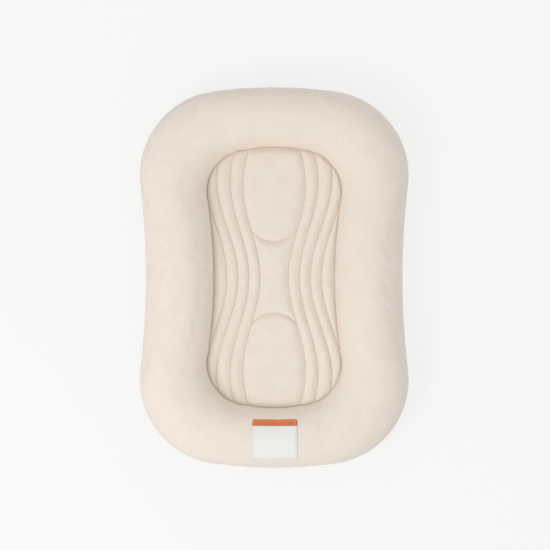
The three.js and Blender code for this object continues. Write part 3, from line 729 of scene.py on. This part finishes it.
def turn_border_down(bm):
    """Gives the quilt's border its seam allowance, turned down against the rim's inner wall."""
    border = [edge for edge in bm.edges if edge.is_boundary]
    uv = bm.loops.layers.uv["cloth"]
    grown = bmesh.ops.extrude_edge_only(bm, edges=border)["geom"]
    flap = [part for part in grown if isinstance(part, bmesh.types.BMVert)]
    moves = {}
    for vert in flap:
        ends = [edge.other_vert(vert).co for edge in vert.link_edges if edge.is_boundary]
        along = (ends[1] - ends[0]).normalized()
        outward = Vector((along.y, -along.x, 0))
        if outward.dot(Vector((vert.co.x, 0.3 * vert.co.y, 0))) < 0:
            outward.negate()
        moves[vert] = outward * ALLOWANCE - Vector((0, 0, ALLOWANCE_DROP))
    for vert, move in moves.items():
        vert.co += move
    for vert in flap:
        for loop in vert.link_loops:
            loop[uv].uv = vert.co.xy


CHANNEL_REACH = 14 * MM
bm = quilt_skin(columns=(6, 4, 3), row_counts=(13, 10, 13))
puff(bm, FACE_BOTTOM - GAP, 5 * MM, CHANNEL_REACH, stitched=1.5 * MM)
fill_down(bm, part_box("quilt_batting")[0].z)
wadding = make_piece(bm, "quilt_wadding", fibre_material, "polyester_fibre", "quilt_batting")

bm = quilt_skin(columns=(12, 8, 6), row_counts=(26, 20, 26))
puff(bm, FACE_TOP, 6.2 * MM, CHANNEL_REACH)
pinch(bm)
seam_distance = bm.verts.layers.float["seam_distance"]
turn_border_down(bm)
crease = bm.edges.layers.float.new("crease_edge")
for edge in bm.edges:
    if all(vert[seam_distance] < 0.3 * MM for vert in edge.verts):
        edge[crease] = 1
quilt = make_piece(bm, "quilt_cotton_face", cover_material, "cover_cotton", "quilt_face")
swell(quilt, seam_reach=0.3 * MM, pressure=4, slack=0.03, furthest=1.2 * MM, steady=6 * MM)
subdivided(quilt)
solidify(quilt, 1 * MM)

# Quilting stitches: lockstitch in ecru spun polyester, sunk between the channels.
# The thread lies on the cloth for 3 mm at a time and dips through it between the stitches.


def sew(paths, stitch, thickness, dip):
    """Sewing thread along each path, in stitches of one length that dip into the cloth between them."""
    bm = bmesh.new()
    for path in paths:
        length = sum((after - before).length for before, after in zip(path, path[1:]))
        cells = 4 * round(length / stitch)
        points, _ = evenly_spaced(path, cells)
        for vert in bmesh.ops.create_grid(bm, x_segments=6, y_segments=cells, size=1)["verts"]:
            around, k = math.pi * vert.co.x, round((vert.co.y + 1) / 2 * cells)
            along = (points[min(k + 1, cells)] - points[max(k - 1, 0)]).normalized()
            across = along.cross(Vector((0, 0, 1))).normalized()
            up = across.cross(along)
            in_hole = k % 4 == 0
            radius = thickness / 2 * (0.6 if in_hole else 1)
            lift = radius * math.sin(around) - (dip if in_hole else 0)
            vert.co = points[k] + across * radius * math.cos(around) + up * lift
    bmesh.ops.remove_doubles(bm, verts=bm.verts, dist=0.01 * MM)
    bmesh.ops.recalc_face_normals(bm, faces=bm.faces)
    return bm


# Spun polyester thread: two-ply and ecru, drawn 0.55 mm thick, with a soft shine on its twist
thread_material, tree, shader = new_material(
    "spun_polyester_thread", Roughness=0.55, Sheen_Weight=0.2, Base_Color=colour("#e4d7c6"),
)
place = add_node(tree, "ShaderNodeTexCoord").outputs["Object"]
twist = add_node(tree, "ShaderNodeTexWave", {
    "Vector": place, "Scale": math.pi / (10 * 0.6 * MM),
}, bands_direction="DIAGONAL")
relief = add_node(tree, "ShaderNodeBump", {
    "Height": twist.outputs["Fac"], "Strength": 0.5, "Distance": 0.15 * MM,
})
tree.links.new(relief.outputs["Normal"], shader.inputs["Normal"])

STITCH, THREAD, DIP = 3.2 * MM, 0.55 * MM, 0.5 * MM
thread_height = FACE_TOP + THREAD
sewn = []
for side, word in ((-1, "left"), (1, "right")):
    for k in range(4):
        end = (split_y if k == 0 else line_ends[k]) - 2 * MM
        path = [Vector((side * line_x(k, abs(y)), y, thread_height)) for y in steps(-end, end, 2 * MM)]
        sewn.append((path, f"line_stitches_{word}_{k + 1}", f"quilt_stitch_{word}_{k + 1}"))
for end, word in ((1, "head"), (-1, "foot")):
    path = [
        Vector((x, end * (pocket_end - pocket_sag(abs(x) / pocket_half)), thread_height))
        for x in steps(1 * MM - pocket_half, pocket_half - 1 * MM, 2 * MM)
    ]
    sewn.append((path, f"pocket_stitches_{word}", f"quilt_stitch_{word}_arc"))
for path, name, node in sewn:
    make_piece(sew([path], STITCH, THREAD, DIP), name, thread_material, "sewing_thread", node)

# Base: two panels of the cover's cotton, hemmed along the zip and sewn to the rim's inner foot.
# They hang a little slack under the pad, clear of the floor, and leave a slot for the zip.
SLOT_HALF_WIDTH, SLOT_HALF_LENGTH, SLOT_FADE, HEM_BAND = 5 * MM, 206 * MM, 30 * MM, 14 * MM
PANEL_INSET = 0.15 * MM
panel_bottom = pad_low.z
panel_outline = quilt_outline(PANEL_INSET)
for side, word in ((-1, "left"), (1, "right")):
    bm = half_panel(panel_outline, PANEL_INSET, side, rows=130, columns=30)
    # The whole hem band is held while the panel swells, but the painted seam shade follows the true border.
    seam_distance = bm.verts.layers.float["seam_distance"]
    to_border = [vert[seam_distance] for vert in bm.verts]
    # The corners on the middle line stay square, where both panels meet the rim.
    sharp_corner = bm.verts.layers.float.new("crease_vert")
    for vert in bm.verts:
        x, y = abs(vert.co.x), abs(vert.co.y)
        vert[sharp_corner] = y > panel_outline.half_length - 0.1 * MM
        if y < SLOT_HALF_LENGTH and x < SLOT_FADE:
            x = SLOT_HALF_WIDTH + x * (1 - SLOT_HALF_WIDTH / SLOT_FADE)
            vert.co.x = side * x
        vert[seam_distance] = min(vert[seam_distance], max(x - HEM_BAND, 0))
        slack = min(vert[seam_distance] / (40 * MM), 1)
        ripple = 0.5 + 0.5 * noise.noise(Vector((x / (30 * MM), vert.co.y / (60 * MM), side * 4)))
        vert.co.z = panel_bottom - (1 + 0.8 * ripple) * slack * MM
    facing(bm, up=False)
    panel = make_piece(bm, f"base_cotton_{word}", cover_material, "cover_cotton", f"base_panel_{word}")
    swell(
        panel, seam_reach=0.2 * MM, pressure=2, slack=0.02, furthest=2.4 * MM, steady=25 * MM,
        frames=16,
    )
    panel.data.attributes["seam_distance"].data.foreach_set("value", to_border)
    subdivided(panel)
    solidify(panel, CLOTH)

# Zip down the middle of the base: two woven polyester tapes, each with a wound nylon coil at its edge.
# The tapes are sewn behind the panels' hems, and the coils show in the slot between them.
tape_low, tape_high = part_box("zip_tape_right")
coil_low, coil_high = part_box("zip_coil_right")

# Zip tape: polyester in a ribbed weave, dyed a shade darker than the cotton, its ribs drawn 0.9 mm apart
tape_material, tree, shader = new_material(
    "ribbed_polyester_tape", Roughness=0.7, Sheen_Weight=0.2, Base_Color=colour("#e0d4c4"),
)
place = add_node(tree, "ShaderNodeTexCoord").outputs["Object"]
tree.links.new(woven_relief(tree, place, 0.9 * MM, 0.25 * MM), shader.inputs["Normal"])

# Nylon monofilament: cream, smooth and slightly clear, as the light shines a little way into it
coil_material, tree, shader = new_material(
    "nylon_monofilament", Roughness=0.32, Subsurface_Weight=0.15, Subsurface_Scale=0.5 * MM,
)
place = add_node(tree, "ShaderNodeTexCoord").outputs["Object"]
dye = add_node(tree, "ShaderNodeTexNoise", {
    "Vector": place, "Scale": 1 / (12 * MM), "Detail": 2,
}).outputs["Fac"]
shade = add_node(tree, "ShaderNodeMix", {
    "Factor": dye, "A": colour("#e2d6c4"), "B": colour("#eee5d8"),
}, data_type="RGBA")
tree.links.new(shade.outputs["Result"], shader.inputs["Base Color"])


def wound_coil(side, wire, pitch, steps_a_turn):
    """Monofilament wound in an oval helix along the tape's inner edge, closed at both ends."""
    middle, half = (coil_low + coil_high) / 2, (coil_high - coil_low) / 2
    turns = int((2 * half.y - 2 * wire) / pitch)
    bm = bmesh.new()
    bmesh.ops.create_grid(bm, x_segments=6, y_segments=turns * steps_a_turn, size=1)
    for vert in bm.verts:
        around, turn = math.pi * vert.co.x, math.pi * turns * vert.co.y
        radius = 1 - wire / 2 / half.z * (1 - math.cos(around))
        vert.co = (
            side * (middle.x + half.x * radius * math.cos(turn)),
            turn * pitch / (2 * math.pi) + wire / 2 * math.sin(around),
            middle.z + half.z * radius * math.sin(turn),
        )
    bmesh.ops.remove_doubles(bm, verts=bm.verts, dist=0.01 * MM)
    bmesh.ops.holes_fill(bm, edges=[edge for edge in bm.edges if edge.is_boundary], sides=6)
    bmesh.ops.recalc_face_normals(bm, faces=bm.faces)
    return bm


for side, word in ((-1, "left"), (1, "right")):
    bm = bmesh.new()
    bmesh.ops.create_grid(bm, x_segments=8, y_segments=140, size=1)
    for vert in bm.verts:
        across, along = (vert.co.x + 1) / 2, vert.co.y
        ripple = noise.noise(Vector((across, along * tape_high.y / (18 * MM), side)))
        vert.co = (
            side * (tape_low.x + (tape_high.x - tape_low.x) * across), along * tape_high.y,
            tape_high.z + 0.1 * MM * across * ripple,
        )
    facing(bm, up=True)
    tape = make_piece(bm, f"zip_tape_cloth_{word}", tape_material, "zip_tape_cloth", f"zip_tape_{word}")
    solidify(tape, tape_high.z - tape_low.z)
    make_piece(
        wound_coil(side, wire=0.62 * MM, pitch=1.5 * MM, steps_a_turn=8), f"nylon_coil_{word}",
        coil_material, "coil_nylon", f"zip_coil_{word}",
    )

# Topstitching: two rows of the quilt's thread on each side of the slot.
# They hold each panel's hem to the tape behind it.
ROW_END = 210 * MM
rows = []
for side in (-1, 1):
    for away in (2.5 * MM, 6 * MM):
        x = side * (SLOT_HALF_WIDTH + away)
        rows.append([Vector((x, y, panel_bottom - 0.3 * MM)) for y in steps(-ROW_END, ROW_END, 10 * MM)])
make_piece(sew(rows, STITCH, THREAD, -DIP), "zip_topstitching", thread_material, "sewing_thread")

# Slider, pull and stops: die-cast zinc alloy and crimped brass, nickel plated, with softly rounded edges.
# The plating is brushed a little by handling, so its shine dulls in patches about 1.5 mm wide.
# Each piece is a copy of its own solid with the outer edges rounded; inner corners stay as they are.
metal_material, tree, shader = new_material("nickel_plated_zinc", Metallic=1.0)
place = add_node(tree, "ShaderNodeTexCoord").outputs["Object"]
worn = add_node(tree, "ShaderNodeTexNoise", {
    "Vector": place, "Scale": 1 / (1.5 * MM), "Detail": 5,
}).outputs["Fac"]
shade = add_node(tree, "ShaderNodeMix", {
    "Factor": worn, "A": colour("#a9a6a0"), "B": colour("#d3d0ca"),
}, data_type="RGBA")
tree.links.new(shade.outputs["Result"], shader.inputs["Base Color"])
polish = add_node(tree, "ShaderNodeMapRange", {"Value": worn, "To Min": 0.22, "To Max": 0.42}).outputs[0]
tree.links.new(polish, shader.inputs["Roughness"])
relief = add_node(tree, "ShaderNodeBump", {"Height": worn, "Strength": 0.3, "Distance": 0.05 * MM})
tree.links.new(relief.outputs["Normal"], shader.inputs["Normal"])
castings = (
    ("zip_slider", "slider_body", "zip_slider", 0.3 * MM),
    ("zip_pull", "pull_tab", "zip_pull", 0.25 * MM),
    ("zip_top_stop_left", "top_stop_left", "lounger", 0.2 * MM),
    ("zip_top_stop_right", "top_stop_right", "lounger", 0.2 * MM),
    ("zip_bottom_stop", "bottom_stop", "lounger", 0.2 * MM),
)
for node, name, body, rounding in castings:
    bm = bmesh.new()
    bm.from_mesh(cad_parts[node].data)
    bmesh.ops.remove_doubles(bm, verts=bm.verts, dist=0.002 * MM)
    bmesh.ops.dissolve_limit(bm, angle_limit=math.radians(1), verts=bm.verts, edges=bm.edges)
    bmesh.ops.recalc_face_normals(bm, faces=bm.faces)
    sharp = {edge for edge in bm.edges if edge.calc_face_angle(0) > math.radians(40)}
    roots = {vert for edge in sharp if not edge.is_convex for vert in edge.verts}
    rounded = [edge for edge in bm.edges if edge in sharp and roots.isdisjoint(edge.verts)]
    bmesh.ops.bevel(
        bm, geom=rounded, offset=rounding, offset_type="OFFSET", segments=3, profile=0.5,
        affect="EDGES", clamp_overlap=True, material=-1,
    )
    part = make_piece(bm, name, metal_material, "zip_metal", node, body=body)
    part.modifiers.new("flat_faces_stay_flat", "WEIGHTED_NORMAL")

# Label on the foot rim: white polyester satin with a plain terracotta band at its upper edge.
# It is folded under all round and sewn down flat on the crown.
LABEL_WIDTH, LABEL_LENGTH, LABEL_CLOTH, HEM = 86 * MM, 82 * MM, 0.5 * MM, 3 * MM
LABEL_MIDDLE = 1.2 * MM
LABEL_CLEAR = 0.35 * MM
BAND = 15 * MM
END_WIDTH, END_CELLS = 118 * MM, 200
rim_surface = BVHTree.FromObject(rim_top, bpy.context.evaluated_depsgraph_get())
end_crown, end_length = evenly_spaced(list(reversed(crown(END_WIDTH, 0))), END_CELLS)
LABEL_START = 0.297 * end_length
# The seam's place and the rim's width are those at one point, so that the label's rows run straight.
seam_y = pad_outline.y_at(LABEL_WIDTH / 3)
stretch = (rim_outline.y_at(LABEL_WIDTH / 3) - seam_y) / END_WIDTH


def on_foot_rim(x, down, outset):
    """A point over the foot rim, x across and down along the cloth from the inner seam."""
    k = min(int(down / end_length * END_CELLS), END_CELLS - 2)
    share = down / end_length * END_CELLS - k
    flat = end_crown[k].lerp(end_crown[k + 1], share)
    slope = (end_crown[k + 1] - end_crown[k]).normalized()
    outward = Vector((0, slope.y, slope.x)).normalized()
    start = Vector((LABEL_MIDDLE + x, -seam_y - flat.x * stretch, flat.y)) + outward * 20 * MM
    hit = rim_surface.ray_cast(start, -outward)[0]
    return hit + outward * outset


def label_edge(across):
    """How far the label's upper edge dips: round corners, with a slight waver between them."""
    corner, waver, wave = 5 * MM, 0.25 * MM, 7 * MM
    inside = corner - (LABEL_WIDTH / 2 - abs(across))
    if inside > 0:
        return corner - math.sqrt(max(corner ** 2 - inside ** 2, 0))
    return waver * (1 + math.sin(across / wave))


bm = bmesh.new()
bmesh.ops.create_grid(bm, x_segments=44, y_segments=42, size=1)
places = {}
for vert in bm.verts:
    x, share = vert.co.x * LABEL_WIDTH / 2, (1 - vert.co.y) / 2
    top = label_edge(x)
    places[vert] = (x, top + share * (LABEL_LENGTH - top))
lay_flat(bm, places, "label")
for vert, (x, down) in places.items():
    ripple = 0.25 * MM * (1 + noise.noise(Vector((x / (14 * MM), down / (40 * MM), 2))))
    vert.co = on_foot_rim(x, LABEL_START + down, LABEL_CLEAR + LABEL_CLOTH + ripple)
facing(bm, up=True)

# Polyester satin: floats of bright filament that shine along the cloth, in a fine weave.
# Its 0.3 mm threads are drawn 0.9 mm apart, so that they show.
label_material, tree, shader = new_material(
    "white_polyester_satin", Roughness=0.5, Specular_IOR_Level=0.35, Anisotropic=0.4, Sheen_Weight=0.1,
)
place = add_node(tree, "ShaderNodeUVMap", uv_map="label").outputs["UV"]
down = add_node(tree, "ShaderNodeSeparateXYZ", {0: place}).outputs["Y"]
band = add_node(tree, "ShaderNodeMath", {0: down, 1: BAND}, operation="LESS_THAN").outputs[0]
floats = add_node(tree, "ShaderNodeMapping", {"Vector": place, "Scale": (1 / (0.9 * MM), 1 / (14 * MM), 1)})
filament = add_node(tree, "ShaderNodeTexNoise", {
    "Vector": floats.outputs["Vector"], "Scale": 1, "Detail": 3,
}, noise_dimensions="2D").outputs["Fac"]
plain = add_node(tree, "ShaderNodeMix", {
    "Factor": filament, "A": colour("#e4e3e2"), "B": colour("#f2f1f0"),
}, data_type="RGBA").outputs["Result"]
dyed = add_node(tree, "ShaderNodeMix", {
    "Factor": filament, "A": colour("#cf6834"), "B": colour("#e37c48"),
}, data_type="RGBA").outputs["Result"]
satin = add_node(tree, "ShaderNodeMix", {"Factor": band, "A": plain, "B": dyed}, data_type="RGBA")
tree.links.new(satin.outputs["Result"], shader.inputs["Base Color"])
tree.links.new(woven_relief(tree, place, 0.9 * MM, 0.1 * MM), shader.inputs["Normal"])
label = make_piece(bm, "plain_satin_label", label_material, "label_satin", "blank_label")
solidify(label, LABEL_CLOTH)

label_surface = BVHTree.FromObject(label, bpy.context.evaluated_depsgraph_get())


def on_label(x, down):
    """A point on the label's upper side."""
    base = on_foot_rim(x, LABEL_START + down, 0)
    away = (on_foot_rim(x, LABEL_START + down, 10 * MM) - base).normalized()
    hit = label_surface.ray_cast(base + away * 10 * MM, -away)[0]
    return (hit or base) + away * 0.2 * MM


hem_x = LABEL_WIDTH / 2 - HEM
hem_top, hem_bottom = HEM + 1 * MM, LABEL_LENGTH - HEM
corners = [(-hem_x, hem_top), (hem_x, hem_top), (hem_x, hem_bottom), (-hem_x, hem_bottom)]
hem_paths = []
for (x_from, down_from), (x_to, down_to) in zip(corners, corners[1:] + corners[:1]):
    hem_paths.append([
        on_label(x_from + (x_to - x_from) * share, down_from + (down_to - down_from) * share)
        for share in steps(0, 1, 1 / 30)
    ])
label_hem = make_piece(
    sew(hem_paths, stitch=2.5 * MM, thickness=0.5 * MM, dip=0.4 * MM), "label_hem_stitches",
    thread_material, "sewing_thread", "label_stitching",
)

# Room: a pale paper floor under soft studio light, with the camera almost straight above the middle.
# The key is a large soft lamp at the lower left of the picture, and the white room fills the rest.
# The floor throws no light back, and shows only its upper side, so that the underside can be seen too.
bm = bmesh.new()
bmesh.ops.create_grid(bm, x_segments=1, y_segments=1, size=6)
floor_mesh = bpy.data.meshes.new("floor")
bm.to_mesh(floor_mesh)
bm.free()
floor = bpy.data.objects.new("floor", floor_mesh)
scene.collection.objects.link(floor)
floor.location.z = -0.2 * MM
floor.visible_diffuse = False

paper, tree, shader = new_material("white_paper_floor", Roughness=0.9, Base_Color=colour("#f8f8f8"))
plain_white = add_node(tree, "ShaderNodeEmission", {"Color": colour("#f8f8f8")})
seen = add_node(tree, "ShaderNodeMixShader", {
    0: 0.22, 1: plain_white.outputs[0], 2: shader.outputs[0],
})
below = add_node(tree, "ShaderNodeNewGeometry").outputs["Backfacing"]
see_through = add_node(tree, "ShaderNodeBsdfTransparent")
one_sided = add_node(tree, "ShaderNodeMixShader", {0: below, 1: seen.outputs[0], 2: see_through.outputs[0]})
tree.links.new(one_sided.outputs[0], tree.nodes["Material Output"].inputs["Surface"])
floor_mesh.materials.append(paper)

world = bpy.data.worlds.new("white_room")
scene.world = world
world.use_nodes = True
tree = world.node_tree
room = tree.nodes["Background"]
room.inputs["Color"].default_value = colour("#ffffff")
upward = add_node(tree, "ShaderNodeSeparateXYZ", {
    0: add_node(tree, "ShaderNodeTexCoord").outputs["Generated"],
}).outputs["Z"]
fill = add_node(tree, "ShaderNodeMapRange", {
    "Value": upward, "From Min": -0.3, "From Max": 0.3, "To Min": 0.72, "To Max": 0.79,
}).outputs[0]
rays = add_node(tree, "ShaderNodeLightPath").outputs
backdrop = rays["Is Camera Ray"]
for kind in ("Is Glossy Ray", "Is Transmission Ray"):
    backdrop = add_node(tree, "ShaderNodeMath", {0: backdrop, 1: rays[kind]}, operation="MAXIMUM").outputs[0]
strength = add_node(tree, "ShaderNodeMix", {"Factor": backdrop, "A": fill, "B": 1.0}, data_type="FLOAT")
tree.links.new(strength.outputs["Result"], room.inputs["Strength"])

softbox = bpy.data.lights.new("key_softbox", "AREA")
softbox.size = 1.2
softbox.energy = 24
key = bpy.data.objects.new("key_softbox", softbox)
scene.collection.objects.link(key)
key.location = Vector((-1, -0.8, 1.45)).normalized() * 3
key.rotation_euler = (-key.location).to_track_quat("-Z", "Y").to_euler()

camera_data = bpy.data.cameras.new("camera")
camera_data.lens = 200
camera = bpy.data.objects.new("camera", camera_data)
scene.collection.objects.link(camera)
camera.location = (1.5 * MM, 4.8 * MM, 5.956)
scene.camera = camera
